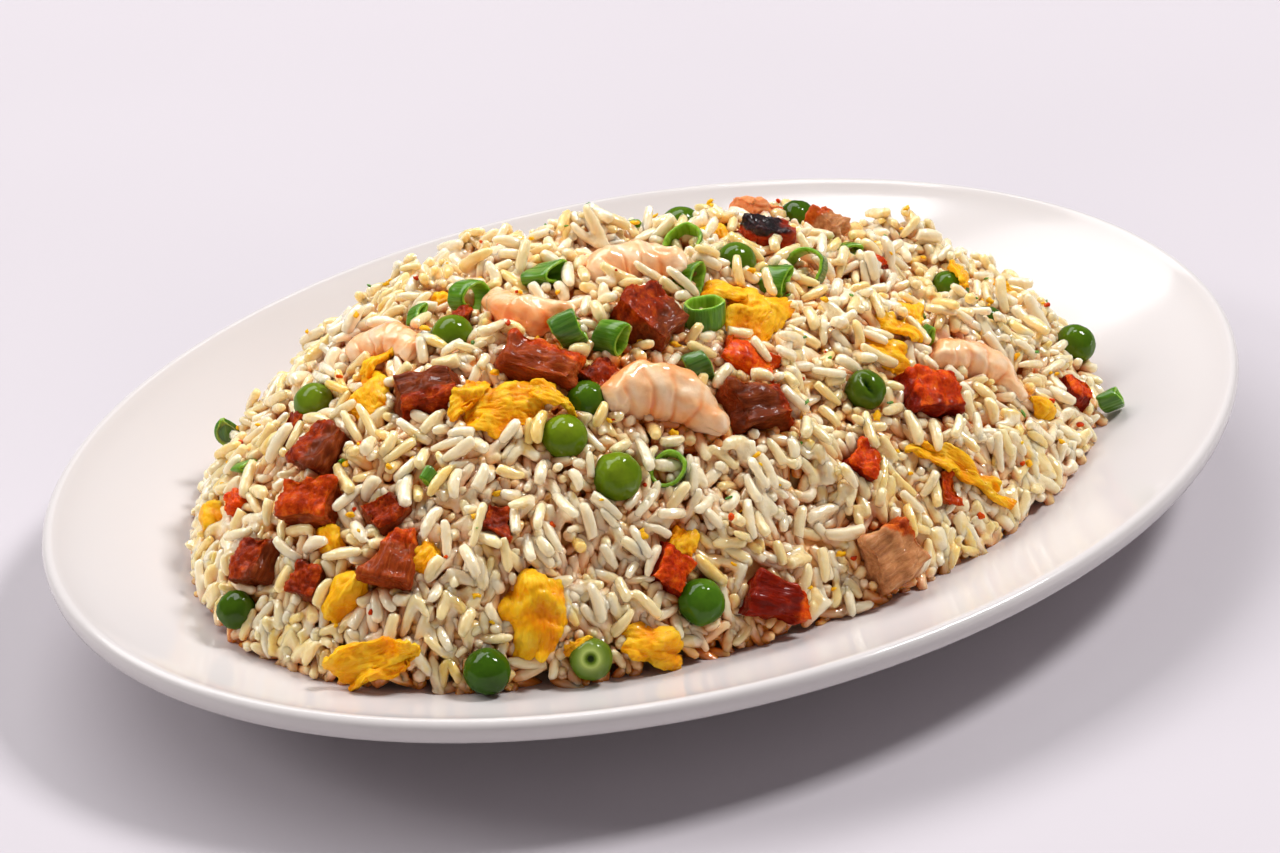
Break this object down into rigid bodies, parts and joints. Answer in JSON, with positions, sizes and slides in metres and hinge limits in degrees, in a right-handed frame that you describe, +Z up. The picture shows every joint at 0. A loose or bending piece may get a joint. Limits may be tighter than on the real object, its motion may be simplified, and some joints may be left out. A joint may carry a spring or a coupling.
{
  "type": "fried rice plate",
  "caption": "Oval white porcelain platter heaped with fried rice, peas, spring onion, roast pork, egg and prawns.",
  "frame": {"origin": "centre of the platter's footprint, on the surface that its foot ring stands on", "axes": "+X along the platter's long axis, +Y across it, +Z up"},
  "size_m": [0.26, 0.183, 0.0645],
  "materials": {
    "porcelain": "clear white glaze, gloss",
    "rice": "cooked long grain rice, translucent with a light film of oil",
    "pea": "cooked green pea, glossy skin",
    "spring_onion": "cut green leaf, ribbed outside and pale inside",
    "pork": "roast pork, dark red glazed edges and brown fibrous cut faces",
    "egg": "scrambled egg, soft and slightly moist",
    "prawn": "cooked peeled prawn, pearly with orange bands"
  },
  "bodies": {
    "root": {"egg_01": "egg", "egg_02": "egg", "egg_03": "egg", "egg_04": "egg", "egg_05": "egg", "egg_06": "egg", "egg_07": "egg", "egg_08": "egg", "egg_09": "egg", "onion_01": "spring_onion", "onion_02": "spring_onion", "onion_03": "spring_onion", "onion_04": "spring_onion", "onion_05": "spring_onion", "onion_06": "spring_onion", "onion_07": "spring_onion", "onion_08": "spring_onion", "onion_09": "spring_onion", "onion_10": "spring_onion", "onion_11": "spring_onion", "pea_01": "pea", "pea_02": "pea", "pea_03": "pea", "pea_04": "pea", "pea_05": "pea", "pea_06": "pea", "pea_07": "pea", "pea_08": "pea", "pea_09": "pea", "pea_10": "pea", "pea_11": "pea", "pea_12": "pea", "pea_13": "pea", "pea_14": "pea", "pea_15": "pea", "pea_16": "pea", "platter": "porcelain", "pork_01": "pork", "pork_02": "pork", "pork_03": "pork", "pork_04": "pork", "pork_05": "pork", "pork_06": "pork", "pork_07": "pork", "pork_08": "pork", "pork_09": "pork", "pork_10": "pork", "pork_11": "pork", "pork_12": "pork", "pork_13": "pork", "pork_14": "pork", "pork_15": "pork", "pork_16": "pork", "prawn_01": "prawn", "prawn_02": "prawn", "prawn_03": "prawn", "prawn_04": "prawn", "prawn_05": "prawn", "prawn_06": "prawn", "rice": "rice"}
  },
  "joints": []
}
